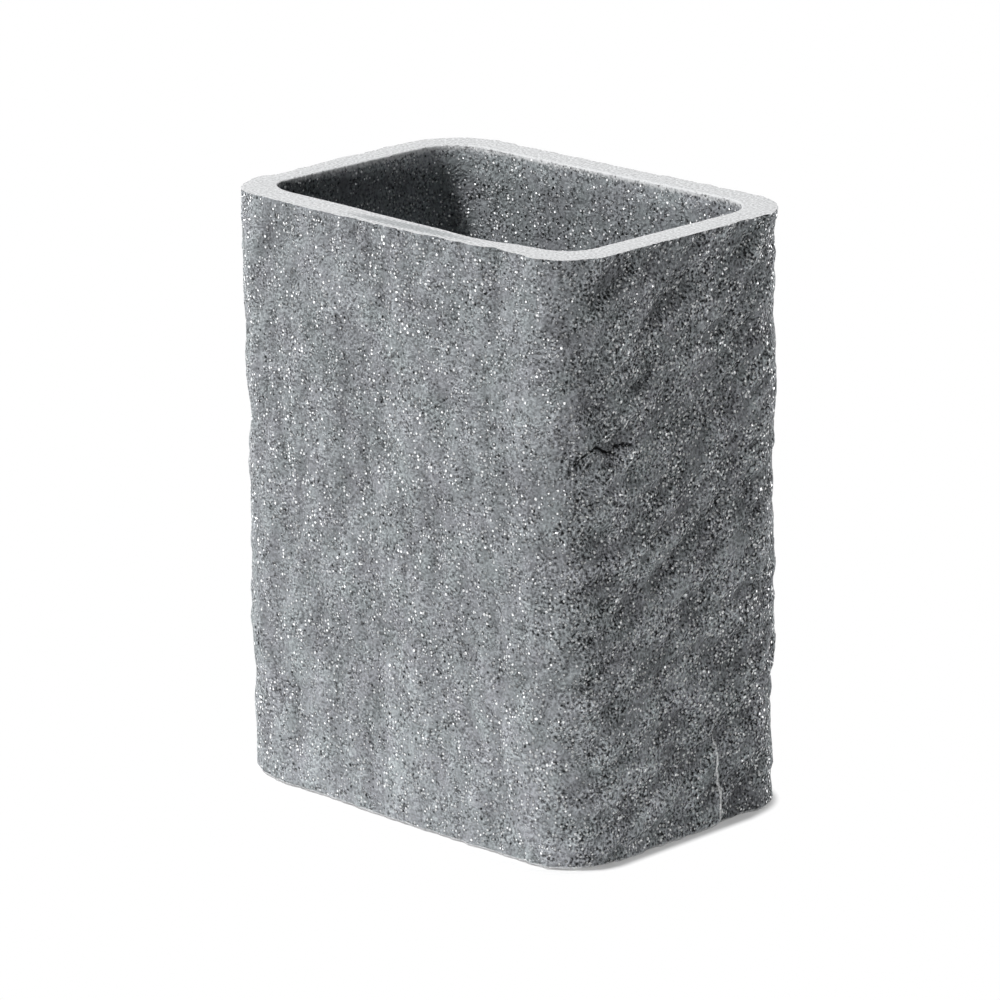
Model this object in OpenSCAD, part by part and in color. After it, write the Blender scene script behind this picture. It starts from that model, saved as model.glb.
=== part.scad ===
// Rectangular bathroom tumbler, cast in one piece from stone-filled resin.
// A split-stone relief runs round all four walls and their corners. The rim and the base are ground flat, so the
// relief ends there in a wavy line. Four anti-slip pads sit in shallow round recesses under the base, each held by
// a disc of double-sided adhesive film.
// Millimetres, +Z up, X along the long sides. The origin is on the resting plane, under the middle of the body.

/* [Body] */
// Height from the resting plane to the ground rim
overall_h = 106; // [85:0.5:130]
// Width across the proudest points of the short faces
body_w = 85.6; // [75:0.1:100]
// Depth across the proudest points of the long faces
body_d = 58.8; // [52:0.1:75]
// Plan radius of the four upright corners
corner_r = 11.5; // [9:0.1:14]
// Wall at the rim, behind the proudest points of the outer faces
rim_wall = 5.6; // [4.8:0.1:7]
// Thickness of the floor
floor_t = 8; // [6:0.1:12]
// Broken arris round the ground base
base_break = 0.3; // [0.2:0.1:1.2]

/* [Cavity] */
// Plan radius of the cavity's upright corners at the rim
mouth_r = 7.5; // [6.5:0.1:9]
// How far each cavity wall leans in between the rim and the floor
draft = 1; // [0.4:0.1:1.8]
// Rounding of the cavity's edge at the rim
mouth_round = 1; // [0.4:0.1:1.4]
// Rounding between the cavity's walls and its floor
floor_round = 5; // [2:0.1:6]
// How far the front wall of the cavity swells outwards, where the rim is thinnest
mouth_swell = 1.9; // [0:0.1:2.2]

/* [Relief] */
// Distance between the relief's modelled points
facet = 2.4; // [2.35:0.05:6]
// Depth and size of the broad undulations
swell_depth = 0.6; // [0:0.05:1.2]
swell_pitch = 17; // [10:0.5:30]
// Depth and size of the chips that the splitting left
chip_depth = 0.55; // [0:0.05:1]
chip_pitch = 6.5; // [5:0.25:14]
// Depth and size of the roughness on the chips
grit_depth = 0.3; // [0:0.05:0.6]
grit_pitch = 3.4; // [3:0.1:8]
// Depth of the slanting ledges on the short faces, and their spacing up the wall
ledge_depth = 0.7; // [0:0.05:1.2]
ledge_pitch = 15; // [8:0.5:30]
// Rise of the ledges, in degrees
ledge_rise = 28; // [0:1:45]
// Height of the foot of the short faces, where the stone stands out again towards the base
foot_h = 5; // [1:0.5:12]
// How far the ends of the front face lie behind its proud middle, at the rim
front_drop = 1.3; // [0:0.05:1.8]
// Depth of the upright groove in the front face
groove_depth = 0.35; // [0:0.05:0.8]
// How far the most worn point of an upright corner lies behind its plan radius
corner_drop = 2; // [0:0.1:2.2]

/* [Anti-slip pads] */
// Diameter of a pad
pad_d = 12; // [8:0.1:16]
// Thickness of a pad
pad_t = 1.8; // [1.2:0.1:2.5]
// How far a pad stands out of the base
pad_proud = 0.25; // [0.2:0.05:0.8]
// Rounded lower edge of a pad
pad_edge = 0.5; // [0.2:0.1:0.9]
// Thickness of the adhesive film
film_t = 0.2; // [0.1:0.05:0.4]
// How much smaller the film's radius is than the pad's
film_inset = 0.5; // [0.2:0.1:1]
// Gap all round a pad in its recess
pad_gap = 0.3; // [0.1:0.05:0.6]
// Distance from a pad's centre to each outer face
pad_inset = 15; // [13:0.5:18]

/* [Hidden] */

// Overrun of the cuts past the faces that they open
overrun = 1;
// Segments of a round edge, of a plan corner of the cavity, and of its long sides
round_steps = 5;
cavity_corner_steps = 6;
cavity_long_steps = 14;
// Numbers of the scatter function: an angle for each lattice direction, in degrees, and a gain
scatter_angles = [127.1, 311.7, 74.7];
scatter_gain = 43758.5453;
// The undulations are drawn out upwards, and so are the chips on the long faces. On the short faces the chips are
// drawn out along the ledges. Each layer of relief has its own part of the scatter
swell_stretch = 2.6;
upright_stretch = 1.7;
streak_stretch = 2.2;
chip_shift = [31, 17, 5];
grit_shift = [7, 53, 29];
warp_shift = [13, 71, 43];
// A ledge climbs slowly over this share of its spacing, and breaks off over the rest
ledge_climb_share = 0.8;
// Where the lowest ledge starts, and how much the ledges wander, as shares of their spacing
ledge_start_share = 0.43;
ledge_wander_share = 1.3;
// What is left of a ledge's depth where it fades out, and how much more chipped the short faces are
ledge_fade_share = 0.15;
short_chip_share = 0.45;
// How much of the relief's depth is left at the foot of the short faces
foot_share = 0.3;
// How much of the front face's drop is left at the base
drop_left_share = 0.35;
// A floor rounding takes at most this share of the cavity's corner radius
round_limit_share = 0.85;

// Plan line of the front face from left to right: [share of the width, share of the drop]
front_line_share = [[0, 1], [0.12, 1], [0.3, 0.55], [0.45, 0.42], [0.53, 0.05], [0.62, 0], [0.68, 0.3],
    [0.74, 0.45], [0.77, 1], [1, 1]];
// Section of the upright groove in the front face: [share of the width, share of the groove's depth]
groove_line_share = [[0, 0], [0.59, 0], [0.635, 1], [0.66, 0.2], [0.7, 0], [1, 0]];
// How the upright corners are worn, from the base up: [share of the height, share of the corner's drop]. In order
// these are the back right, back left, front left and front right corners
corner_lines_share = [
    [[0, 0.55], [0.03, 0.7], [0.057, 0.78], [0.108, 0.69], [0.161, 0.86], [0.187, 0.95], [0.213, 0.86],
        [0.239, 0.68], [0.264, 0.42], [0.29, 0.6], [0.34, 0.5], [0.42, 0.5], [0.495, 0.58], [0.546, 0.67],
        [0.597, 0.58], [0.647, 0.5], [0.673, 0.24], [0.7, 0.15], [0.773, 0.23], [0.824, 0.57], [0.873, 0.48],
        [0.923, 0.56], [0.972, 0.4], [1, 0.4]],
    [[0, 0.4], [0.19, 0.25], [0.32, 0.55], [0.47, 0.35], [0.62, 0.6], [0.75, 0.3], [0.87, 0.5], [1, 0.4]],
    [[0, 0.3], [0.013, 0.28], [0.066, 0.21], [0.12, 0.2], [0.146, 0.33], [0.173, 0.28], [0.2, 0.14], [0.25, 0],
        [0.304, 0.2], [0.46, 0.25], [0.51, 0.15], [0.563, 0.32], [0.615, 0.48], [0.64, 0.43], [0.69, 0.24],
        [0.743, 0.15], [0.793, 0.31], [0.844, 0.12], [0.945, 0.1], [1, 0.12]],
    [[0, 0], [0.05, 0.1], [0.17, 0.25], [0.28, 0.1], [0.42, 0.3], [0.55, 0.15], [0.66, 0.35], [0.79, 0.12],
        [0.91, 0.25], [1, 0.1]]];
// How much of the relief gives way to that wear in the middle of a corner
corner_hold_share = 0.85;
// Plan line of the cavity's front wall from left to right: [share of the straight side, share of the swelling]
mouth_line_share = [[0, 0], [0.2, 0.2], [0.5, 0.58], [0.65, 0.75], [0.74, 1], [0.81, 0.95], [0.88, 0.35], [0.94, 0],
    [1, 0]];

// Heights
base_z = pad_proud;
floor_z = base_z + floor_t;
// The four recesses
pad_x = body_w / 2 - pad_inset;
pad_y = body_d / 2 - pad_inset;
recess_d = pad_d + 2 * pad_gap;
recess_depth = pad_t + film_t - pad_proud;
film_d = pad_d - 2 * film_inset;
// The cavity at the rim and at the floor
mouth_w = body_w - 2 * rim_wall;
mouth_d = body_d - 2 * rim_wall;
floor_w = mouth_w - 2 * draft;
floor_d = mouth_d - 2 * draft;
floor_corner_r = mouth_r - draft;
floor_fillet = min(floor_round, round_limit_share * floor_corner_r);
// Points of the relief: on a short side, on a long side, on a corner, and up the wall
short_steps = round((body_d - 2 * corner_r) / facet);
long_steps = round((body_w - 2 * corner_r) / facet);
corner_steps = round(corner_r * PI / 2 / facet);
rise_steps = round((overall_h - base_z - base_break) / facet);

// Plan directions, and a point that lies out along a direction and then aside from it
function toward(a) = [cos(a), sin(a)];
function beside(out, aside, a) = out * toward(a) + aside * toward(a + 90);

// Outline of a rounded rectangle, anticlockwise from the right-hand side. Each entry holds the point, its outward
// direction, its side (0 right, 1 back, 2 left, 3 front), how far it has turned to the next side, and its share
// along a straight side
function outline(w, d, r, n_short, n_long, n_corner) = [
    for (side = [0:3])
        let (across = side % 2 == 0,
             out = (across ? w : d) / 2,
             run = (across ? d : w) / 2 - r,
             n = across ? n_short : n_long,
             a = 90 * side)
        each concat(
            [for (i = [0:n - 1])
                [beside(out, run * (2 * i / n - 1), a), toward(a), side, 0, i / n]],
            [for (i = [0:n_corner - 1])
                let (t = i / n_corner)
                [beside(out - r, run, a) + r * toward(a + 90 * t), toward(a + 90 * t), side, t, 1]])
];

// Smooth random field of lattice size 1, between 0 and 1
function ease(t) = t * t * (3 - 2 * t);
function mix(a, b, t) = a + (b - a) * t;
function scatter(cell) = let (s = sin(cell * scatter_angles) * scatter_gain) s - floor(s);
function field(p) =
    let (c = [floor(p.x), floor(p.y), floor(p.z)],
         u = ease(p.x - c.x), v = ease(p.y - c.y), w = ease(p.z - c.z),
         row = function(j, k) mix(scatter(c + [0, j, k]), scatter(c + [1, j, k]), u),
         sheet = function(k) mix(row(0, k), row(1, k), v))
    mix(sheet(0), sheet(1), w);

// One broken ledge for each whole step of t
function ledge(t) =
    let (f = t - floor(t))
    f < ledge_climb_share ? ease(f / ledge_climb_share) : ease((1 - f) / (1 - ledge_climb_share));

// Share of the height above the base
function height_share(z) = (z - base_z) / (overall_h - base_z);

// How far the stone lies behind its nominal wall, for one entry of the outline at height z
function hollow(entry, z) =
    let (p = [entry[0].x, entry[0].y, z],
         n = entry[1],
         short = n.x * n.x,
         slant = z - n.x * p.y * tan(ledge_rise),
         drawn = [p.x, p.y * mix(1, 1 / streak_stretch, short), mix(z / upright_stretch, slant, short)],
         climb = ledge_start_share + slant / ledge_pitch
             + ledge_wander_share * field(p / (2 * chip_pitch) + warp_shift),
         patch = mix(ledge_fade_share, 1, field(p / swell_pitch + grit_shift)),
         front = max(0, -n.y),
         across = p.x / body_w + 1 / 2)
    swell_depth * field([p.x, p.y, p.z / swell_stretch] / swell_pitch)
    + chip_depth * (1 + short_chip_share * short) * abs(2 * field(drawn / chip_pitch + chip_shift) - 1)
    + grit_depth * field(drawn / grit_pitch + grit_shift)
    + ledge_depth * short * patch * ledge(climb)
    + front_drop * front * lookup(across, front_line_share) * mix(drop_left_share, 1, height_share(z))
    + groove_depth * front * lookup(across, groove_line_share);

// The wall's outline, its rows from the base to the rim, and the hollows at each of their points
wall = outline(body_w, body_d, corner_r, short_steps, long_steps, corner_steps);
rows = [base_z, for (i = [0:rise_steps]) mix(base_z + base_break, overall_h, i / rise_steps)];
hollows = [for (z = rows) [for (entry = wall) hollow(entry, z)]];
// The least hollow on each side, which brings the side's proudest point to its nominal plane
leads = [for (side = [0:3])
    min([for (row = hollows) for (i = [0:len(wall) - 1]) if (wall[i][2] == side && wall[i][3] == 0) row[i]])];

// A ring of the outer wall at one row, with its arris broken at the base
function wall_ring(row) = [
    for (i = [0:len(wall) - 1])
        let (entry = wall[i],
             lead = mix(leads[entry[2]], leads[(entry[2] + 1) % 4], entry[3]),
             worn = corner_drop * lookup(height_share(rows[row]), corner_lines_share[entry[2]]),
             short = entry[1].x * entry[1].x,
             foot = mix(foot_share, 1, ease(min(1, (rows[row] - base_z) / foot_h))),
             rough = max(0, hollows[row][i] - lead) * mix(1, foot, short),
             back = mix(rough, worn, corner_hold_share * sin(180 * entry[3])) + (row == 0 ? base_break : 0),
             at = entry[0] - back * entry[1])
        [at.x, at.y, rows[row]]
];

// A ring of the cavity at height z, grown outwards from its size at the floor. The front wall swells with height
function cavity_ring(z, grow) =
    let (h_share = (z - floor_z) / (overall_h - floor_z),
         g = grow + draft * h_share)
    [for (entry = outline(floor_w + 2 * g, floor_d + 2 * g, floor_corner_r + g,
            1, cavity_long_steps, cavity_corner_steps))
        let (on_front = entry[2] == 3 && entry[3] == 0,
             at = entry[0] + (on_front ? mouth_swell * h_share * lookup(entry[4], mouth_line_share) : 0) * entry[1])
        [at.x, at.y, z]];

// How far a quarter round of radius r has drawn in at distance t from where it starts
function drawn_in(r, t) = r - sqrt(r * r - (r - t) * (r - t));

// The cavity's rings from the floor to above the rim
cavity_rings = concat(
    [for (i = [0:round_steps])
        let (t = floor_fillet * (1 - cos(90 * i / round_steps)))
        cavity_ring(floor_z + t, -drawn_in(floor_fillet, t))],
    [for (i = [0:round_steps])
        let (t = mouth_round * sin(90 * i / round_steps))
        cavity_ring(overall_h - mouth_round + t, drawn_in(mouth_round, mouth_round - t))],
    [cavity_ring(overall_h + overrun, mouth_round)]);

// Closed skin through rings of equal count, with each end closed by a fan. The diagonals alternate, so that the
// facets lean no one way
module skin(rings) {
    n = len(rings[0]);
    last = len(rings) - 1;
    middle = function(ring) let (sum = [for (p = ring) 1] * ring) sum / n;
    at = function(row, i) row * n + i % n;
    side_faces = [
        for (row = [0:last - 1]) for (i = [0:n - 1])
            let (a = at(row, i), b = at(row, i + 1), c = at(row + 1, i + 1), d = at(row + 1, i))
            each (row + i) % 2 == 0 ? [[a, c, b], [a, d, c]] : [[a, d, b], [b, d, c]]
    ];
    bottom_faces = [for (i = [0:n - 1]) [at(0, i), at(0, i + 1), n * (last + 1)]];
    top_faces = [for (i = [0:n - 1]) [at(last, i + 1), at(last, i), n * (last + 1) + 1]];
    polyhedron(
        points = concat([for (ring = rings) each ring], [middle(rings[0]), middle(rings[last])]),
        faces = concat(side_faces, bottom_faces, top_faces)
    );
}

module pad_recess(x, y) {
    translate([x, y, base_z - overrun])
        cylinder(d = recess_d, h = recess_depth + overrun, $fn = 64);
}

module cast_body() {
    color("#8b8e90")
        difference() {
            skin([for (row = [0:len(rows) - 1]) wall_ring(row)]);
            skin(cavity_rings);
            for (x = [-pad_x, pad_x])
                for (y = [-pad_y, pad_y])
                    pad_recess(x, y);
        }
}

// Moulded pad with a rounded lower edge, turned about its own axis
module pad(x, y) {
    edge = [for (a = [0:15:90]) [pad_d / 2 - pad_edge * (1 - sin(a)), pad_edge * (1 - cos(a))]];
    color("#4a4c4e")
        translate([x, y, 0])
            rotate_extrude($fn = 64)
                polygon(concat([[0, 0]], edge, [[pad_d / 2, pad_t], [0, pad_t]]));
}

module film(x, y) {
    color("#d9dbd6")
        translate([x, y, pad_t])
            cylinder(d = film_d, h = film_t, $fn = 64);
}

module pad_front_left() { pad(-pad_x, -pad_y); }
module pad_front_right() { pad(pad_x, -pad_y); }
module pad_back_left() { pad(-pad_x, pad_y); }
module pad_back_right() { pad(pad_x, pad_y); }
module film_front_left() { film(-pad_x, -pad_y); }
module film_front_right() { film(pad_x, -pad_y); }
module film_back_left() { film(-pad_x, pad_y); }
module film_back_right() { film(pad_x, pad_y); }

cast_body();
pad_front_left();
pad_front_right();
pad_back_left();
pad_back_right();
film_front_left();
film_front_right();
film_back_left();
film_back_right();
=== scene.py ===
import math

import bmesh
import bpy
from mathutils import Matrix, Vector, noise


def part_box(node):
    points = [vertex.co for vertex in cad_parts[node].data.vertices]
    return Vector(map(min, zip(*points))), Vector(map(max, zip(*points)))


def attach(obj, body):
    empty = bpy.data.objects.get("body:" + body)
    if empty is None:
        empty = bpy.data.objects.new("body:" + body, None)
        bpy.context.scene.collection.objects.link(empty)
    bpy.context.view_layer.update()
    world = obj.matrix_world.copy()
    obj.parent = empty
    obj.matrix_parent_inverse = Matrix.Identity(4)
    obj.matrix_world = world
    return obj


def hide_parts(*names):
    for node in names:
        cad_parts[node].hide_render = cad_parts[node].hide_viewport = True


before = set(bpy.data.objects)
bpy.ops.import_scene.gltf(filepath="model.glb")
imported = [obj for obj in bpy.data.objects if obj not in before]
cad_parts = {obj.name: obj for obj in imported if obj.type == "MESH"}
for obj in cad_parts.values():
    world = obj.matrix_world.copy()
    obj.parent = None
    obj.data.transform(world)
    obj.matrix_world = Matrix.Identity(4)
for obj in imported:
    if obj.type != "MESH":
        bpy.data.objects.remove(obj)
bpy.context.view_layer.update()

# Camera
# A long lens looks at the corner between the front and the right side from a little above, rolled by less
# than a degree. The tumbler's middle shows a few pixels right of the middle of the picture, and above it.
CAMERA_AZIMUTH = math.radians(45.21)
CAMERA_ELEVATION = math.radians(16.48)
CAMERA_ROLL = math.radians(-0.85)
CAMERA_DISTANCE, CLIP_START = 0.9625, 0.05
FOCAL_PIXELS, FRAME_PIXELS, SENSOR_MM = 5535, 1000, 36
# The height of the tumbler's middle, and the pixel at which it shows
MIDDLE_HEIGHT, MIDDLE_PIXEL = 0.053, (510.3, 492.7)

to_camera = Vector((math.sin(CAMERA_AZIMUTH) * math.cos(CAMERA_ELEVATION),
                    -math.cos(CAMERA_AZIMUTH) * math.cos(CAMERA_ELEVATION),
                    math.sin(CAMERA_ELEVATION)))
level = Vector((math.cos(CAMERA_AZIMUTH), math.sin(CAMERA_AZIMUTH), 0))
right = level * math.cos(CAMERA_ROLL) + to_camera.cross(level) * math.sin(CAMERA_ROLL)
up = to_camera.cross(right)
metres_per_pixel = CAMERA_DISTANCE / FOCAL_PIXELS
aim = (Vector((0, 0, MIDDLE_HEIGHT))
       - right * (MIDDLE_PIXEL[0] - FRAME_PIXELS / 2) * metres_per_pixel
       - up * (FRAME_PIXELS / 2 - MIDDLE_PIXEL[1]) * metres_per_pixel)
camera_data = bpy.data.cameras.new("product_camera")
camera_data.sensor_width = SENSOR_MM
camera_data.lens = FOCAL_PIXELS / FRAME_PIXELS * SENSOR_MM
camera_data.clip_start = CLIP_START
camera = bpy.data.objects.new("product_camera", camera_data)
turn = Matrix((right, up, to_camera)).transposed().to_4x4()
camera.matrix_world = Matrix.Translation(aim + to_camera * CAMERA_DISTANCE) @ turn
bpy.context.scene.collection.objects.link(camera)
bpy.context.scene.camera = camera
bpy.context.scene.view_settings.view_transform = "Standard"

# Floor and background
# A small white sheet lies on matt board, and both are lit until they burn out to white. The camera, glossy
# and see-through rays meet that white. Close to the base the sheet stays mostly plain, so it keeps the
# contact shadow.
MM = 0.001
# The floor's size, and how far below the pads it lies, so that their faces don't flicker
FLOOR_SIZE, FLOOR_GAP = 6, 0.02 * MM
SHEET_WHITE, BOARD_GREY, BURNT_WHITE = "#e6e6e6", "#808080", (1, 1, 1, 1)
# The white's share at the base, and the distances from the base between which it grows to all
GLOW_AT_BASE = 0.24
PLAIN_END, WHITE_START = 0.1 * MM, 2.3 * MM
# Towards the back, between these places along Y, the white glow closes up to the base and paints out the
# contact shadow there
BACK_START, BACK_END = 14 * MM, 27 * MM
# The distances from the base between which the sheet gives way to the board
SHEET_NEAR, SHEET_FAR = 20 * MM, 90 * MM
body_low, body_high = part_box("cast_body")
CORNER_RADIUS = 11.5 * MM
STRAIGHT_X, STRAIGHT_Y = body_high[0] - CORNER_RADIUS, body_high[1] - CORNER_RADIUS


def linear(hex_colour):
    """An sRGB hex colour as linear RGBA, with the numbers of the sRGB standard."""
    parts = [int(hex_colour[i:i + 2], 16) / 255 for i in (1, 3, 5)]
    return [c / 12.92 if c <= 0.04045 else ((c + 0.055) / 1.055) ** 2.4 for c in parts] + [1]


def new_material(name):
    """An empty material and its node tree."""
    made = bpy.data.materials.new(name)
    made.use_nodes = True
    made.node_tree.nodes.clear()
    return made, made.node_tree


def add(tree, kind, inputs=None, **settings):
    """A new node. Its settings are properties, and inputs maps a socket to a value, an output or a node."""
    made = tree.nodes.new("ShaderNode" + kind)
    for name, value in settings.items():
        setattr(made, name, value)
    for key, value in (inputs or {}).items():
        if isinstance(value, bpy.types.Node):
            value = value.outputs[0]
        if isinstance(value, bpy.types.NodeSocket):
            tree.links.new(value, made.inputs[key])
        else:
            made.inputs[key].default_value = value
    return made


def seen_directly(tree):
    """1 for camera, glossy and transmission rays."""
    path = add(tree, "LightPath")
    either = add(tree, "Math", {0: path.outputs["Is Camera Ray"], 1: path.outputs["Is Glossy Ray"]},
                 operation="MAXIMUM")
    return add(tree, "Math", {0: either, 1: path.outputs["Is Transmission Ray"]}, operation="MAXIMUM")


# Matt board and sheet. The white grows with the distance from the base's outline, in plan: the last number
# of straight_half is larger than any height on the floor, so height counts for nothing.
board, tree = new_material("matt_white_board")
straight_half = (STRAIGHT_X, STRAIGHT_Y, 1)
place = add(tree, "TexCoord").outputs["Object"]
away = add(tree, "VectorMath", {0: place}, operation="ABSOLUTE")
away = add(tree, "VectorMath", {0: away, 1: straight_half}, operation="SUBTRACT")
away = add(tree, "VectorMath", {0: away, 1: (0, 0, 0)}, operation="MAXIMUM")
away = add(tree, "VectorMath", {0: away}, operation="LENGTH").outputs["Value"]
away = add(tree, "Math", {0: away, 1: CORNER_RADIUS}, operation="SUBTRACT")
# Painted light: towards the back the glow hides the contact shadow
back = add(tree, "SeparateXYZ", {0: place}).outputs["Y"]
back = add(tree, "MapRange", {"Value": back, "From Min": BACK_START, "From Max": BACK_END, "To Min": 0,
                              "To Max": WHITE_START})
away = add(tree, "Math", {0: away, 1: back}, operation="ADD")
burnt_out = add(tree, "MapRange", {"Value": away, "From Min": PLAIN_END, "From Max": WHITE_START,
                                   "To Min": GLOW_AT_BASE, "To Max": 1}, interpolation_type="SMOOTHSTEP")
share = add(tree, "Math", {0: seen_directly(tree), 1: burnt_out}, operation="MULTIPLY")
off_sheet = add(tree, "MapRange", {"Value": away, "From Min": SHEET_NEAR, "From Max": SHEET_FAR},
                interpolation_type="SMOOTHSTEP")
grey = add(tree, "Mix", {0: off_sheet, 6: linear(SHEET_WHITE), 7: linear(BOARD_GREY)}, data_type="RGBA")
diffuse = add(tree, "BsdfDiffuse", {"Color": grey.outputs[2]})
glow = add(tree, "Emission", {"Color": BURNT_WHITE, "Strength": 1})
mixed = add(tree, "MixShader", {0: share, 1: diffuse, 2: glow})
add(tree, "OutputMaterial", {"Surface": mixed})

floor_mesh = bpy.data.meshes.new("floor_board")
bm = bmesh.new()
bmesh.ops.create_grid(bm, x_segments=1, y_segments=1, size=FLOOR_SIZE / 2)
bmesh.ops.translate(bm, vec=(0, 0, -FLOOR_GAP), verts=bm.verts)
bm.to_mesh(floor_mesh)
bm.free()
floor_board = bpy.data.objects.new("floor_board", floor_mesh)
floor_mesh.materials.append(board)
bpy.context.scene.collection.objects.link(floor_board)

# Studio
# Behind the tumbler the board sweeps upright and throws light back along its edges. The sweep fades out
# towards its top and its sides, and the room in front is dark.
SWEEP_GLOW, ROOM_GLOW = 3, 0.015
# The sine of the angle up to the sweep's top, and the cosines of the angles from its middle at which it
# starts and is at its brightest
SWEEP_TOP, SWEEP_EDGE, SWEEP_FULL = math.sin(math.radians(28)), 0.5, 0.95
world = bpy.data.worlds.new("studio")
bpy.context.scene.world = world
world.use_nodes = True
tree = world.node_tree
tree.nodes.clear()
direction = add(tree, "TexCoord").outputs["Generated"]
height = add(tree, "SeparateXYZ", {0: direction}).outputs["Z"]
low = add(tree, "MapRange", {"Value": height, "From Min": 0, "From Max": SWEEP_TOP, "To Min": 1, "To Max": 0},
          interpolation_type="SMOOTHSTEP")
behind = add(tree, "VectorMath", {0: direction, 1: (-to_camera.x, -to_camera.y, 0)}, operation="DOT_PRODUCT")
behind = add(tree, "MapRange", {"Value": behind.outputs["Value"], "From Min": SWEEP_EDGE,
                                "From Max": SWEEP_FULL, "To Min": 0, "To Max": SWEEP_GLOW},
             interpolation_type="SMOOTHSTEP")
glow = add(tree, "Math", {0: low, 1: behind, 2: ROOM_GLOW}, operation="MULTIPLY_ADD")
fill = add(tree, "Background", {"Color": BURNT_WHITE, "Strength": glow})
white = add(tree, "Background", {"Color": BURNT_WHITE, "Strength": 1})
mixed = add(tree, "MixShader", {0: seen_directly(tree), 1: fill, 2: white})
add(tree, "OutputWorld", {"Surface": mixed})

# Lamps
# A softbox high in front and to the left lights the front and the rim, and leaves the right side in shade.
# Low cards graze that side's relief, its far edge and the left edge of the front. They stand too low to
# shine into the cavity.


def soft_lamp(name, place, target, width, height, watts):
    """A rectangular lamp at a place, turned to a target, with its lengths in metres."""
    data = bpy.data.lights.new(name, "AREA")
    data.shape = "RECTANGLE"
    data.size, data.size_y = width, height
    data.energy = watts
    lamp = bpy.data.objects.new(name, data)
    away = (Vector(place) - Vector(target)).normalized()
    lamp.matrix_world = Matrix.Translation(place) @ away.to_track_quat("Z", "Y").to_matrix().to_4x4()
    bpy.context.scene.collection.objects.link(lamp)


soft_lamp("key_softbox", (-0.5, -0.63, 1.56), (0, 0, 0.06), 0.35, 0.35, 34)
soft_lamp("front_card", (0.52, -1.16, 0.17), (0, 0, 0.05), 0.3, 0.15, 8)
soft_lamp("back_card", (0.07, 0.6, 0.055), (0.04, 0, 0.05), 0.45, 0.09, 3.3)
soft_lamp("side_card", (-0.6, -0.02, 0.055), (-0.04, 0, 0.05), 0.3, 0.09, 3)

# Casting
# The tumbler's body is one casting of polyester resin filled with stone powder and fine mica. Its outside
# takes a split stone from the mould. The rim and the base are ground flat afterwards, which leaves them
# paler.
RIM_Z, BASE_Z = body_high[2], body_low[2]
# What lies further in than the thinnest wall, and isn't lower than the floor, belongs to the cavity
THINNEST_WALL, FLOOR_THICKNESS = 2.3 * MM, 8 * MM
# The rounding of the mouth's edge, as the mould's core leaves it and after grinding
CORE_ROUND, GROUND_ROUND = 1 * MM, 0.35 * MM
# How much thicker the front wall's lip is at places along it, in mm
THICK_LIP = ((-36, 1.3), (-14, 1.45), (-8, 1.15), (12, 1.15), (17, 0.9), (21.5, 0.4), (25, 0.6), (29, 1),
             (36, 0.8))
# The right side stands out again at the rim, over this height
RIM_STANDS_OUT, RIM_FOOT = 0.8 * MM, 5 * MM
# The split stone's fine relief: pitch and depth of each layer. Its marks stand upright on the long sides,
# where they are shallower, and rise to the back on the short sides, where they break off in steps.
RELIEF_LAYERS = ((4.6 * MM, 0.5 * MM), (2.4 * MM, 0.4 * MM), (1.3 * MM, 0.25 * MM))
RISE_ANGLE = math.radians(33)
UPRIGHT, RISING = Vector((0, 0, 1)), Vector((0, math.cos(RISE_ANGLE), math.sin(RISE_ANGLE)))
UPRIGHT_STRETCH, RISING_STRETCH = 2.6, 2.2
LONG_SIDE_SHARE, SHORT_SIDE_SHARE = 0.75, 1.6
# Each layer and each direction reads another part of the noise
LAYER_SHIFT, RISING_SHIFT = 7, 3
STEPS, TREAD_SHARE = 3, 0.2
# The ledge that broke away across the front right corner, as points in mm
LEDGE = [(40.2, -24.6, 71.0), (41.1, -23.2, 72.6), (41.8, -21.3, 73.4), (42.2, -19.6, 72.6),
         (42.4, -17.4, 71.7), (42.4, -16.6, 73.2), (42.4, -13.1, 72.4)]
# Single marks in the stone: points in mm that each follows, its half width and its depth. A negative depth
# stands out.
MARKS = (
    (LEDGE, 0.3 * MM, 0.9 * MM),
    ([(41.2, -22.6, 70.9), (42.0, -20.4, 71.0), (42.4, -16.8, 70.0)], 1.3 * MM, 0.35 * MM),
    ([(41.2, -22.9, 75.0), (42.4, -19.0, 74.8), (42.4, -15.0, 75.4)], 1.5 * MM, -0.3 * MM),
    ([(42.4, -19.6, 79.6), (42.4, -14.1, 82.2), (42.4, -8.5, 83.6)], 0.5 * MM, 0.4 * MM),
    ([(42.4, 4.2, 54.0), (42.4, 5.6, 55.4), (42.4, 8.7, 58.0)], 0.55 * MM, 0.45 * MM),
    ([(42.4, 1.0, 48.4), (42.4, 1.8, 50.6), (42.4, 4.4, 52.6)], 0.5 * MM, 0.4 * MM),
    ([(41.6, -22.0, 21.2)], 0.7 * MM, 0.45 * MM),
    ([(42.4, -19.7, 91.4)], 0.7 * MM, 0.4 * MM),
    ([(42.4, -17.3, 34.2)], 0.7 * MM, 0.35 * MM),
    ([(41.7, -21.5, 59.6)], 0.6 * MM, 0.4 * MM),
    ([(30.6, -29.0, 78.3)], 0.6 * MM, 0.45 * MM),
    ([(9.0, -29.0, 14.7)], 0.6 * MM, 0.5 * MM),
    ([(6.3, -29.0, 32.6), (6.6, -29.0, 34.2)], 0.45 * MM, 0.6 * MM),
    ([(-10.0, -29.0, 38.0), (-9.2, -29.0, 40.0)], 0.4 * MM, 0.6 * MM),
    ([(8.0, -29.0, 68.0), (9.6, -29.0, 67.4)], 0.5 * MM, 0.5 * MM),
)
# How far from its first point a mark can reach, and the half width below which it is a crack, which the
# material paints dark as shade
MARK_LENGTH, NARROW_MARK = 16 * MM, 0.35 * MM
# Marks waver to the sides: the pitch and width of each wave. Without a seed, their noise comes from the clock.
WAVES = ((2 * MM, 0.4 * MM), (0.5 * MM, 0.15 * MM))
WAVE_SEED = 1
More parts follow.
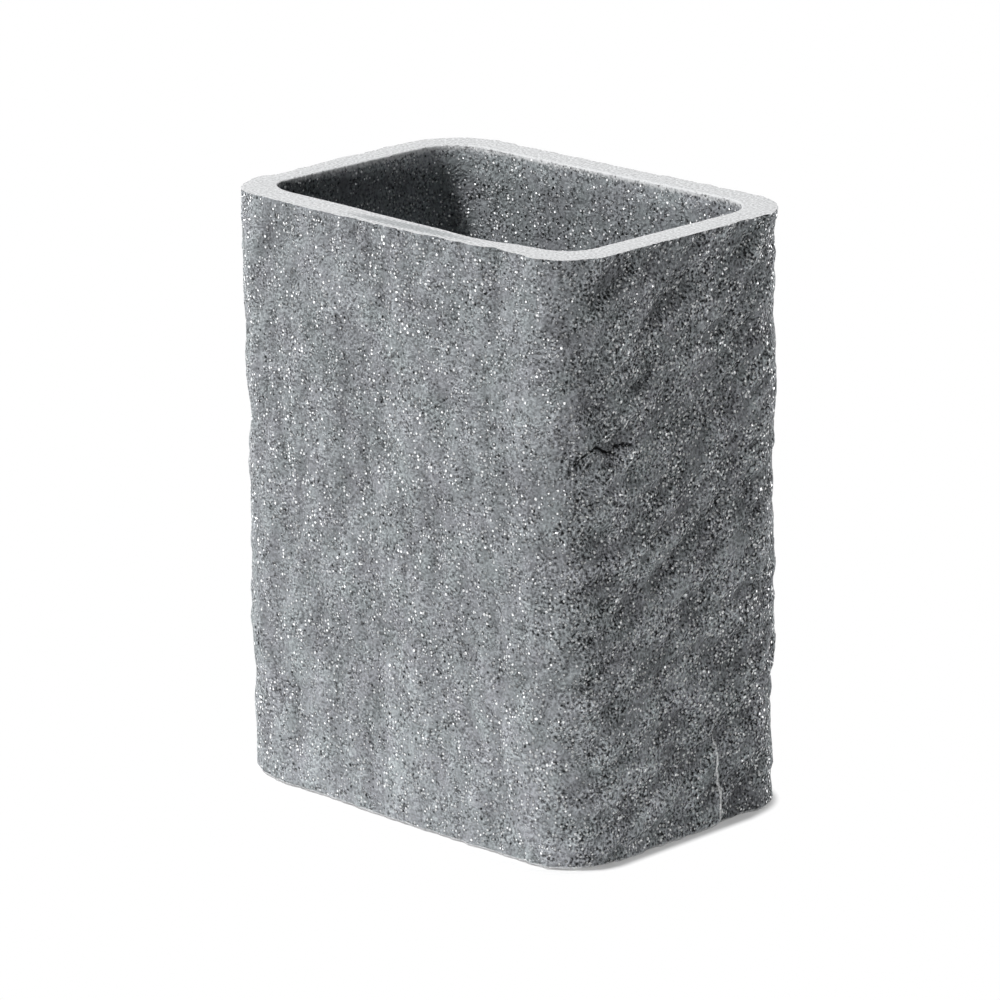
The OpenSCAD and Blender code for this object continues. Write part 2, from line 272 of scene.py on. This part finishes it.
# A vein of pale bare resin stands out a little at the foot of the right side: points in mm that it follows,
# and the heights between which it grows from nothing to its full strength
VEIN = ((42.4, 6.8, 19.0), (42.4, 6.85, 13.8), (42.4, 7.1, 10.5), (42.4, 7.6, 6.9), (42.4, 7.4, 4.5),
        (42.4, 7.25, 0.2))
VEIN_HALF, VEIN_STANDS_OUT = 0.24 * MM, 0.25 * MM
VEIN_FAINT, VEIN_FULL = 19 * MM, 12 * MM
# Cuts in each edge of the walls, and then in those within these distances of the ledge and the vein
WALL_CUTS, MARK_CUTS = 3, 2
LEDGE_REACH, VEIN_REACH = 1.4 * MM, 0.7 * MM
SMOOTHINGS, SMOOTHING_SHARE = 3, 0.5
MERGE_GAP, HAIR = 0.001 * MM, 0.01 * MM
# Limits on normals: a wall faces out by more than the first and up by less than the second, a ground face
# faces up by more than the third, and the right side faces out by more than the last
WALL_FACES_OUT, WALL_FACES_UP, GROUND_FACES_UP, RIGHT_FACES_OUT = 0.3, 0.95, 0.99, 0.9
# Ground faces lie this close to the plane of the rim or the base, and sharper edges than this are creases
GROUND_LEVEL, CREASE_ANGLE = 0.1 * MM, math.radians(50)


def outward(point):
    """The plan direction that points straight out of the rounded rectangle at this point."""
    if abs(point.x) < STRAIGHT_X:
        return Vector((0, math.copysign(1, point.y), 0))
    if abs(point.y) < STRAIGHT_Y:
        return Vector((math.copysign(1, point.x), 0, 0))
    across = point.x - math.copysign(STRAIGHT_X, point.x)
    deep = point.y - math.copysign(STRAIGHT_Y, point.y)
    return Vector((across, deep, 0)).normalized()


def inset(point):
    """How far a point lies inside the body's rounded outline."""
    across = max(0, abs(point.x) - STRAIGHT_X)
    deep = max(0, abs(point.y) - STRAIGHT_Y)
    return CORNER_RADIUS - math.hypot(across, deep)


def drawn_out(point, along, stretch, pitch, shift):
    """Noise from -1 to 1, stretched along one direction."""
    shortened = point - along * point.dot(along) * (1 - 1 / stretch)
    return noise.noise(shortened / pitch + Vector((shift, shift, 0)))


def stepped(value):
    """The value with level treads and steep risers, as stone breaks along its layers."""
    tread = math.floor(value * STEPS)
    riser = max(0, min(1, (value * STEPS - tread - TREAD_SHARE) / (1 - 2 * TREAD_SHARE)))
    return (tread + riser * riser * (3 - 2 * riser)) / STEPS


def lookup(places, at):
    """The value at a place along a line of (place, value) points."""
    for (start, low), (end, high) in zip(places[:-1], places[1:]):
        if at <= end:
            return low + (high - low) * max(0, at - start) / (end - start)
    return places[-1][1]


def off_line(point, line, side):
    """The distance along the wall from a point to a line of points in mm."""
    spots = [Vector(spot) * MM - point for spot in line]
    spots = [spot - side * spot.dot(side) for spot in spots]
    nearest = spots[0].length
    for start, end in zip(spots[:-1], spots[1:]):
        run = end - start
        share = max(0, min(1, -start.dot(run) / run.length_squared))
        nearest = min(nearest, (start + run * share).length)
    return nearest


def is_wall(face):
    """Whether a face belongs to the outside of the walls."""
    faces_out = face.normal.dot(outward(face.calc_center_median())) > WALL_FACES_OUT
    return faces_out and abs(face.normal.z) < WALL_FACES_UP


bm = bmesh.new()
bm.from_mesh(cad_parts["cast_body"].data)
bmesh.ops.remove_doubles(bm, verts=bm.verts, dist=MERGE_GAP)
bm.normal_update()
wall_edges = {edge for face in bm.faces if is_wall(face) for edge in face.edges}
bmesh.ops.subdivide_edges(bm, edges=list(wall_edges), cuts=WALL_CUTS, use_grid_fill=True)
bm.normal_update()
wall_verts = {vert for face in bm.faces if is_wall(face) for vert in face.verts}
between = [vert for vert in wall_verts if BASE_Z + HAIR < vert.co.z < RIM_Z - HAIR]
for _ in range(SMOOTHINGS):
    bmesh.ops.smooth_vert(bm, verts=between, factor=SMOOTHING_SHARE, use_axis_x=True, use_axis_y=True,
                          use_axis_z=True)
for line, reach in ((LEDGE, LEDGE_REACH), (VEIN, VEIN_REACH)):
    spots = [(face, face.calc_center_median()) for face in bm.faces if is_wall(face)]
    marked = {edge for face, spot in spots if spot.x > 0 and off_line(spot, line, outward(spot)) < reach
              for edge in face.edges}
    bmesh.ops.subdivide_edges(bm, edges=list(marked), cuts=MARK_CUTS, use_grid_fill=True)
bm.normal_update()

# The relief moves the outside's points straight out or in, and none leaves the body's box. The material
# reads the cracks, which it paints dark as shade, the vein, how much a point faces a short side, and how far
# it is raised, in mm, which it paints as shade in the hollows and light on the tops.
crack = bm.verts.layers.float.new("crack")
vein = bm.verts.layers.float.new("vein")
short_side = bm.verts.layers.float.new("short_side")
raised = bm.verts.layers.float.new("raised")
noise.seed_set(WAVE_SEED)
wall_verts ={vert for face in bm.faces if is_wall(face) for vert in face.verts}
for vert in wall_verts:
    point, side = vert.co.copy(), outward(vert.co)
    vert[short_side] = side.x ** 2
    height = 0
    for i, (pitch, depth) in enumerate(RELIEF_LAYERS):
        shift = LAYER_SHIFT * i
        upright = LONG_SIDE_SHARE * drawn_out(point, UPRIGHT, UPRIGHT_STRETCH, pitch, shift)
        rising = drawn_out(point, RISING, RISING_STRETCH, pitch, shift + RISING_SHIFT)
        rising = SHORT_SIDE_SHARE * stepped(rising)
        height += depth * (side.y ** 2 * upright + abs(side.x) ** 3 * rising)
    vert[raised] = height / MM
    wavy = point.copy()
    for pitch, width in WAVES:
        wavy += noise.noise_vector(point / pitch) * width
    for line, half_width, depth in MARKS:
        if (point - Vector(line[0]) * MM).length < MARK_LENGTH:
            share = math.exp(-(off_line(wavy, line, side) / half_width) ** 2)
            height -= depth * share
            if half_width < NARROW_MARK:
                vert[crack] = max(vert[crack], share)
    if side.x > RIGHT_FACES_OUT and point.z < VEIN_FAINT:
        share = math.exp(-(off_line(point, VEIN, side) / VEIN_HALF) ** 2)
        share *= min(1, (VEIN_FAINT - point.z) / (VEIN_FAINT - VEIN_FULL))
        height += VEIN_STANDS_OUT * share
        vert[vein] = share
    near_rim = max(0, 1 - (RIM_Z - point.z) / RIM_FOOT)
    height += RIM_STANDS_OUT * max(0, side.x) * near_rim ** 2
    vert.co += side * height
    vert.co.x = max(body_low[0], min(body_high[0], vert.co.x))
    vert.co.y = max(body_low[1], min(body_high[1], vert.co.y))

# The cavity is marked, because the smooth core of the mould gives it a calmer face than the split outside.
# Grinding leaves the mouth's edge sharper than the core did, and the front lip is thicker.
cast_smooth = bm.verts.layers.float.new("cast_smooth")
for vert in bm.verts:
    in_cavity = inset(vert.co) > THINNEST_WALL and vert.co.z > BASE_Z + FLOOR_THICKNESS - HAIR
    vert[cast_smooth] = 1 if in_cavity else 0
    if in_cavity and RIM_Z - vert.co.z < CORE_ROUND + HAIR:
        side = outward(vert.co)
        down = (RIM_Z - vert.co.z) / CORE_ROUND
        opened = CORE_ROUND * (1 - math.sqrt(max(0, 1 - max(0, 1 - down) ** 2)))
        thicker = lookup(THICK_LIP, vert.co.x / MM) * MM * max(0, -side.y) ** 2
        vert.co -= side * (opened * (1 - GROUND_ROUND / CORE_ROUND) + thicker)
        vert.co.z = RIM_Z - down * GROUND_ROUND
for face in bm.faces:
    face.smooth = True
    height = face.calc_center_median().z
    at_rim_or_base = height > RIM_Z - GROUND_LEVEL or height < BASE_Z + GROUND_LEVEL
    face.material_index = 1 if abs(face.normal.z) > GROUND_FACES_UP and at_rim_or_base else 0
for edge in bm.edges:
    edge.smooth = len(edge.link_faces) == 2 and edge.calc_face_angle(0) < CREASE_ANGLE
casting_mesh = bpy.data.meshes.new("cast_body_stone")
bm.to_mesh(casting_mesh)
bm.free()
casting = bpy.data.objects.new("cast_body_stone", casting_mesh)
bpy.context.scene.collection.objects.link(casting)

# Stone-filled polyester, as it leaves the mould: matt and grey, a shade greener here and more violet there.
# Where the stone broke rough it shows dust, pores and mica flakes, and the worn patches between are
# plainer. Painted shade darkens the pores, the cracks, a ring round each flake and the relief's hollows, and
# painted light pales the relief's tops and whitens the flakes as glints.
STONE_GREENISH, STONE_VIOLET = "#898e90", "#8a8c90"
MICA_WHITE, GROUND_GREY = "#f4f5f6", "#cfd0d1"
STONE_ROUGHNESS, MICA_ROUGHNESS, STONE_SPECULAR = 0.78, 0.5, 0.1
# LOW and HIGH are the span of a noise that a pattern uses, and LONG and SHORT stand for the long and the
# short sides. The grey drifts in hue, and its shade drifts in upright streaks.
HUE_PITCH, HUE_LOW, HUE_HIGH = 7 * MM, 0.35, 0.65
DRIFT_PITCH, DRIFT_LOW, DRIFT_HIGH, STREAK = 9 * MM, 0.3, 0.7, (1, 1, 0.3)
DRIFT_DARK, DRIFT_PALE = 0.92, 1.08
# Rough patches are drawn out along the rise of the split, and the worn ones keep this share of the grain
PATCH_PITCH, PATCH_LOW, PATCH_HIGH, GRAIN_STRETCH, WORN_GRAIN = 2.6 * MM, 0.36, 0.62, 2, 0.3
DUST_PITCH, DUST_LOW, DUST_HIGH, SHORT_GRAIN_CONTRAST = 0.5 * MM, 0.25, 0.75, 2
DUST_DARK, DUST_PALE = -0.85, 1
# The chance that a cell holds a flake, and a flake's radii and soft edge in cells. As they show, the flakes
# are about 0.3 mm across, the largest of the real ones. Each is whitened by its own painted glint, more on
# the short sides to brighten the shaded right side, and a ring of painted shade lies around it.
FLAKE_PITCH, FLAKE_CHANCE, SHORT_FLAKES, CAVITY_FLAKES = 0.66 * MM, 0.8, 1.25, 0.6
FLAKE_SMALL, FLAKE_LARGE, CAVITY_SMALLER, FLAKE_EDGE = 0.18, 0.38, 0.07, 0.12
PAINTED_GLINT_LONG, PAINTED_GLINT_SHORT, PAINTED_GLINT_MOST = 0.15, 0.5, 0.95
AROUND_NEAR, AROUND_FAR, AROUND_SHADE = 0.35, 0.65, -0.3
FLAKE_TILT, FLAKE_MIRROR, CELL_MIDDLE = 1.2, 0.45, (0.5, 0.5, 0.5)
# Pores that air left in the resin: the chance that a cell holds one, its radii in cells, and the painted
# shade that darkens it
PORE_PITCH, LONG_PORES, SHORT_PORES = 0.95 * MM, 0.45, 0.25
PORE_SMALL, PORE_LARGE, PORE_SHADE = 0.14, 0.3, -0.8
# Between these values of their mark the cracks are painted dark as shade, and no spot is painted darker than
# the darkest
CRACK_LOW, CRACK_HIGH, CRACK_SHADE, DARKEST = 0.35, 0.7, -1.2, 0.08
# How far the relief rises and falls between its darkest painted shade in the hollows and its palest painted
# light on the tops, in mm
RELIEF_SHADE_HEIGHT = 0.5
# The painted shade in the relief's hollows and the painted light on its tops, and how much paler the cavity is
HOLLOW_SHADE, TOP_LIGHT, CAVITY_PALER = 0.63, 1.36, 0.12
BARE_LOW, BARE_HIGH = 0.2, 0.6
LIP_WANDER, LIP_START, LIP_FULL = 1.8 * MM, RIM_Z - 0.3 * MM, RIM_Z + 0.6 * MM
ARRIS_TOP, ARRIS_WANDER, ARRIS_SOFT = 0.55 * MM, 0.8 * MM, 0.1 * MM
# The bump's parts, in the height of one flake, and that height
GRAIN_RISE, PORE_FALL, CAVITY_CALM, FLAKE_HEIGHT = 0.8, -1.2, 0.45, 0.23 * MM
CRAG_PITCH, LONG_CRAGS, SHORT_CRAGS = 2 * MM, 2, 6
stone, tree = new_material("stone_filled_resin")
place = add(tree, "TexCoord").outputs["Object"]
on_short = add(tree, "Attribute", attribute_name="short_side").outputs["Fac"]
inside = add(tree, "Attribute", attribute_name="cast_smooth").outputs["Fac"]
hue = add(tree, "TexNoise", {"Vector": place, "Scale": 1 / HUE_PITCH, "Detail": 2})
hue = add(tree, "MapRange", {"Value": hue, "From Min": HUE_LOW, "From Max": HUE_HIGH})
base = add(tree, "Mix", {0: hue, 6: linear(STONE_GREENISH), 7: linear(STONE_VIOLET)}, data_type="RGBA")
streaks = add(tree, "VectorMath", {0: place, 1: STREAK}, operation="MULTIPLY")
drift = add(tree, "TexNoise", {"Vector": streaks, "Scale": 1 / DRIFT_PITCH, "Detail": 3})
drift = add(tree, "MapRange", {"Value": drift, "From Min": DRIFT_LOW, "From Max": DRIFT_HIGH,
                               "To Min": DRIFT_DARK, "To Max": DRIFT_PALE})
along = add(tree, "VectorMath", {0: place, 1: RISING}, operation="DOT_PRODUCT").outputs["Value"]
pull = add(tree, "Math", {0: along, 1: 1 / GRAIN_STRETCH - 1}, operation="MULTIPLY")
pull = add(tree, "VectorMath", {0: RISING, "Scale": pull}, operation="SCALE")
split = add(tree, "VectorMath", {0: place, 1: pull}, operation="ADD")
patch = add(tree, "TexNoise", {"Vector": split, "Scale": 1 / PATCH_PITCH, "Detail": 3, "Roughness": 0.6})
rough = add(tree, "MapRange", {"Value": patch, "From Min": PATCH_LOW, "From Max": PATCH_HIGH,
                               "To Min": WORN_GRAIN, "To Max": 1})
# The grain has more contrast on the short sides: partly their rougher split, partly painted light and shade
# where light grazes the shaded right side
grain_contrast = add(tree, "MapRange", {"Value": on_short, "To Min": 1, "To Max": SHORT_GRAIN_CONTRAST})
dust = add(tree, "TexNoise", {"Vector": place, "Scale": 1 / DUST_PITCH, "Detail": 1})
grains = add(tree, "MapRange", {"Value": dust, "From Min": DUST_LOW, "From Max": DUST_HIGH,
                                "To Min": DUST_DARK, "To Max": DUST_PALE})
grains = add(tree, "Math", {0: grains, 1: grain_contrast}, operation="MULTIPLY")
grains = add(tree, "Math", {0: grains, 1: rough, 2: drift}, operation="MULTIPLY_ADD")

flakes = add(tree, "TexVoronoi", {"Vector": place, "Scale": 1 / FLAKE_PITCH})
lots = add(tree, "SeparateColor", {0: flakes.outputs["Color"]})
density = add(tree, "MapRange", {"Value": on_short, "To Min": FLAKE_CHANCE,
                                 "To Max": FLAKE_CHANCE * SHORT_FLAKES})
density = add(tree, "Math", {0: inside, 1: CAVITY_FLAKES, 2: density}, operation="MULTIPLY_ADD")
density = add(tree, "Math", {0: rough, 1: density}, operation="MULTIPLY")
chosen = add(tree, "Math", {0: lots.outputs[0], 1: density}, operation="LESS_THAN")
radius = add(tree, "MapRange", {"Value": lots.outputs[1], "To Min": FLAKE_SMALL, "To Max": FLAKE_LARGE})
radius = add(tree, "Math", {0: inside, 1: -CAVITY_SMALLER, 2: radius}, operation="MULTIPLY_ADD")
outer_radius = add(tree, "Math", {0: radius, 1: FLAKE_EDGE}, operation="ADD")
flake = add(tree, "MapRange", {"Value": flakes, "From Min": radius, "From Max": outer_radius, "To Min": 1,
                               "To Max": 0})
flake = add(tree, "Math", {0: flake, 1: chosen}, operation="MULTIPLY")
# Painted glint: the flakes are whitened, more on the short sides
least_glint = add(tree, "MapRange", {"Value": on_short, "To Min": PAINTED_GLINT_LONG, "To Max": PAINTED_GLINT_SHORT})
painted_glint = add(tree, "MapRange", {"Value": lots.outputs[2], "To Min": least_glint, "To Max": PAINTED_GLINT_MOST})
flake_share = add(tree, "Math", {0: flake, 1: painted_glint}, operation="MULTIPLY")
# Painted shade: a dark ring round each flake
shade_ring = add(tree, "MapRange", {"Value": flakes, "From Min": AROUND_NEAR, "From Max": AROUND_FAR,
                                "To Min": AROUND_SHADE, "To Max": 0})
shade = add(tree, "Math", {0: shade_ring, 1: chosen, 2: grains}, operation="MULTIPLY_ADD")

# Painted shade darkens the open pores
pores = add(tree, "TexVoronoi", {"Vector": place, "Scale": 1 / PORE_PITCH})
pore_lots = add(tree, "SeparateColor", {0: pores.outputs["Color"]})
pore_density = add(tree, "MapRange", {"Value": on_short, "To Min": LONG_PORES, "To Max": SHORT_PORES})
pore_density = add(tree, "Math", {0: rough, 1: pore_density}, operation="MULTIPLY")
pore_chosen = add(tree, "Math", {0: pore_lots, 1: pore_density}, operation="LESS_THAN")
pore = add(tree, "MapRange", {"Value": pores, "From Min": PORE_SMALL, "From Max": PORE_LARGE, "To Min": 1,
                              "To Max": 0})
pore = add(tree, "Math", {0: pore, 1: pore_chosen}, operation="MULTIPLY")
shade = add(tree, "Math", {0: pore, 1: PORE_SHADE, 2: shade}, operation="MULTIPLY_ADD")
# Painted shade: the cracks are darkened
crack_shade = add(tree, "Attribute", attribute_name="crack").outputs["Fac"]
crack_shade = add(tree, "MapRange", {"Value": crack_shade, "From Min": CRACK_LOW, "From Max": CRACK_HIGH})
shade = add(tree, "Math", {0: crack_shade, 1: CRACK_SHADE, 2: shade}, operation="MULTIPLY_ADD")
shade = add(tree, "Math", {0: shade, 1: DARKEST}, operation="MAXIMUM")
# Painted shade and light on the relief: its hollows are darkened and its tops made paler
relief_shade = add(tree, "Attribute", attribute_name="raised").outputs["Fac"]
relief_shade = add(tree, "MapRange", {"Value": relief_shade, "From Min": -RELIEF_SHADE_HEIGHT, "From Max": RELIEF_SHADE_HEIGHT,
                              "To Min": HOLLOW_SHADE, "To Max": TOP_LIGHT})
relief_shade = add(tree, "Math", {0: inside, 1: CAVITY_PALER, 2: relief_shade}, operation="MULTIPLY_ADD")
shade = add(tree, "Math", {0: shade, 1: relief_shade}, operation="MULTIPLY")
shaded = add(tree, "VectorMath", {0: base.outputs[2], "Scale": shade}, operation="SCALE")
bare = add(tree, "Attribute", attribute_name="vein").outputs["Fac"]
bare = add(tree, "MapRange", {"Value": bare, "From Min": BARE_LOW, "From Max": BARE_HIGH})
white_share = add(tree, "Math", {0: bare, 1: flake_share}, operation="MAXIMUM")
colour = add(tree, "Mix", {0: white_share, 6: shaded, 7: linear(MICA_WHITE)}, data_type="RGBA").outputs[2]

# The rounded lip of the mouth is ground pale as well, and fades into the cavity
axes = add(tree, "SeparateXYZ", {0: place})
lip = add(tree, "Math", {0: dust, 1: LIP_WANDER, 2: axes.outputs["Z"]}, operation="MULTIPLY_ADD")
lip = add(tree, "MapRange", {"Value": lip, "From Min": LIP_START, "From Max": LIP_FULL})
lip = add(tree, "Math", {0: lip, 1: inside}, operation="MULTIPLY")
# The broken arris round the base is painted the same pale in places: partly bare ground resin, partly a
# painted highlight where the edge catches the floor's light
arris_middle = ARRIS_TOP - ARRIS_WANDER / 2
arris_highlight = add(tree, "Math", {0: patch, 1: -ARRIS_WANDER, 2: axes.outputs["Z"]}, operation="MULTIPLY_ADD")
arris_highlight = add(tree, "MapRange", {"Value": arris_highlight, "From Min": arris_middle - ARRIS_SOFT,
                               "From Max": arris_middle + ARRIS_SOFT, "To Min": 1, "To Max": 0})
lip = add(tree, "Math", {0: lip, 1: arris_highlight}, operation="MAXIMUM")
colour = add(tree, "Mix", {0: lip, 6: colour, 7: linear(GROUND_GREY)}, data_type="RGBA").outputs[2]

gloss = add(tree, "MapRange", {"Value": flake_share, "To Min": STONE_ROUGHNESS, "To Max": MICA_ROUGHNESS})
height = add(tree, "Math", {0: grains, 1: GRAIN_RISE, 2: flake}, operation="MULTIPLY_ADD")
height = add(tree, "Math", {0: pore, 1: PORE_FALL, 2: height}, operation="MULTIPLY_ADD")
crags = add(tree, "TexNoise", {"Vector": split, "Scale": 1 / CRAG_PITCH, "Detail": 2, "Roughness": 0.6})
crag_height = add(tree, "MapRange", {"Value": on_short, "To Min": LONG_CRAGS, "To Max": SHORT_CRAGS})
height = add(tree, "Math", {0: crags, 1: crag_height, 2: height}, operation="MULTIPLY_ADD")
calmer = add(tree, "MapRange", {"Value": inside, "To Min": 1, "To Max": CAVITY_CALM})
height = add(tree, "Math", {0: height, 1: calmer}, operation="MULTIPLY")
bump = add(tree, "Bump", {"Height": height, "Distance": FLAKE_HEIGHT, "Strength": 1})
# Each flake lies at its own angle, so a few catch the lamp and others don't
tilt = add(tree, "VectorMath", {0: flakes.outputs["Color"], 1: CELL_MIDDLE}, operation="SUBTRACT")
tilt_share = add(tree, "Math", {0: flake, 1: FLAKE_TILT}, operation="MULTIPLY")
tilt = add(tree, "VectorMath", {0: tilt, "Scale": tilt_share}, operation="SCALE")
facing = add(tree, "VectorMath", {0: bump, 1: tilt}, operation="ADD")
facing = add(tree, "VectorMath", {0: facing}, operation="NORMALIZE")
mirror = add(tree, "Math", {0: flake_share, 1: FLAKE_MIRROR}, operation="MULTIPLY")
surface = add(tree, "BsdfPrincipled", {"Base Color": colour, "Roughness": gloss, "Metallic": mirror,
                                       "Specular IOR Level": STONE_SPECULAR, "Normal": facing})
add(tree, "OutputMaterial", {"Surface": surface})
casting_mesh.materials.append(stone)

# The same resin after wet grinding: the powder filling shows, paler and with a fine even grain. A band along
# the front of the mouth lies a little too low, so the grinding missed it.
GROUND_LOW, GROUND_HIGH, GROUND_DARK, GROUND_PALE = 0.33, 0.67, 0.62, 1.2
GROUND_ROUGHNESS, GROUND_GRAIN = 0.8, 0.03 * MM
# The missed band: its middle and half sizes, how its edge wanders and fades, counted in half sizes, and
# how much it shows
MISSED_MIDDLE, MISSED_HALF = (3 * MM, -26.6 * MM, RIM_Z), (15 * MM, 1.5 * MM, 10 * MM)
MISSED_WANDER, MISSED_FULL, MISSED_END, MISSED_SHARE = 0.8, 1, 1.6, 0.65
ground, tree = new_material("ground_stone_resin")
place = add(tree, "TexCoord").outputs["Object"]
grain = add(tree, "TexNoise", {"Vector": place, "Scale": 1 / DUST_PITCH, "Detail": 2, "Roughness": 0.6})
shade = add(tree, "MapRange", {"Value": grain, "From Min": GROUND_LOW, "From Max": GROUND_HIGH,
                               "To Min": GROUND_DARK, "To Max": GROUND_PALE})
missed = add(tree, "Mapping", {"Vector": place, "Location": MISSED_MIDDLE, "Scale": MISSED_HALF},
             vector_type="TEXTURE")
missed = add(tree, "VectorMath", {0: missed}, operation="LENGTH").outputs["Value"]
missed = add(tree, "Math", {0: grain, 1: MISSED_WANDER, 2: missed}, operation="MULTIPLY_ADD")
missed = add(tree, "MapRange", {"Value": missed, "From Min": MISSED_FULL, "From Max": MISSED_END,
                                "To Min": MISSED_SHARE, "To Max": 0})
rgb = add(tree, "Mix", {0: missed, 6: linear(GROUND_GREY), 7: linear(STONE_GREENISH)}, data_type="RGBA")
rgb = add(tree, "VectorMath", {0: rgb.outputs[2], "Scale": shade}, operation="SCALE")
bump = add(tree, "Bump", {"Height": grain, "Distance": GROUND_GRAIN, "Strength": 1})
surface = add(tree, "BsdfPrincipled", {"Base Color": rgb, "Roughness": GROUND_ROUGHNESS, "Normal": bump})
add(tree, "OutputMaterial", {"Surface": surface})
casting_mesh.materials.append(ground)

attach(casting, "root")
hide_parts("cast_body")

# Anti-slip pads
# Four moulded discs of matt rubber with a rounded lower edge and a faint cloudy bloom. Each is pressed into
# a round recess under the base, onto its adhesive film, and stands a little out of it.
RUBBER_GREY, RUBBER_ROUGHNESS, RUBBER_GRAIN = "#4a4c4e", 0.65, 0.02 * MM
BLOOM_PITCH, BLOOM_DARK, BLOOM_PALE = 0.4 * MM, 0.9, 1.15
rubber, tree = new_material("moulded_rubber")
place = add(tree, "TexCoord").outputs["Object"]
bloom = add(tree, "TexNoise", {"Vector": place, "Scale": 1 / BLOOM_PITCH, "Detail": 2})
shade = add(tree, "MapRange", {"Value": bloom, "To Min": BLOOM_DARK, "To Max": BLOOM_PALE})
rgb = add(tree, "VectorMath", {0: linear(RUBBER_GREY)[:3], "Scale": shade}, operation="SCALE")
bump = add(tree, "Bump", {"Height": bloom, "Distance": RUBBER_GRAIN, "Strength": 1})
surface = add(tree, "BsdfPrincipled", {"Base Color": rgb, "Roughness": RUBBER_ROUGHNESS, "Normal": bump})
add(tree, "OutputMaterial", {"Surface": surface})


def finish_discs(prefix, material):
    """Gives the discs whose names start with the prefix their material."""
    for name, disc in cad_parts.items():
        if name.startswith(prefix):
            disc.data.materials.clear()
            disc.data.materials.append(material)


finish_discs("pad_", rubber)

# Adhesive films
# Four discs of double-sided acrylic film, die-cut a little smaller than the pads, which they hold in their
# recesses. The film is milky and smooth, and faintly clouded where it was pressed.
FILM_MILKY, FILM_ROUGHNESS = "#d9dbd6", 0.35
CLOUD_PITCH, CLOUD_DARK, CLOUD_PALE = 2 * MM, 0.92, 1.05
film, tree = new_material("adhesive_film")
place = add(tree, "TexCoord").outputs["Object"]
cloud = add(tree, "TexNoise", {"Vector": place, "Scale": 1 / CLOUD_PITCH, "Detail": 2})
shade = add(tree, "MapRange", {"Value": cloud, "To Min": CLOUD_DARK, "To Max": CLOUD_PALE})
rgb = add(tree, "VectorMath", {0: linear(FILM_MILKY)[:3], "Scale": shade}, operation="SCALE")
surface = add(tree, "BsdfPrincipled", {"Base Color": rgb, "Roughness": FILM_ROUGHNESS})
add(tree, "OutputMaterial", {"Surface": surface})
finish_discs("film_", film)
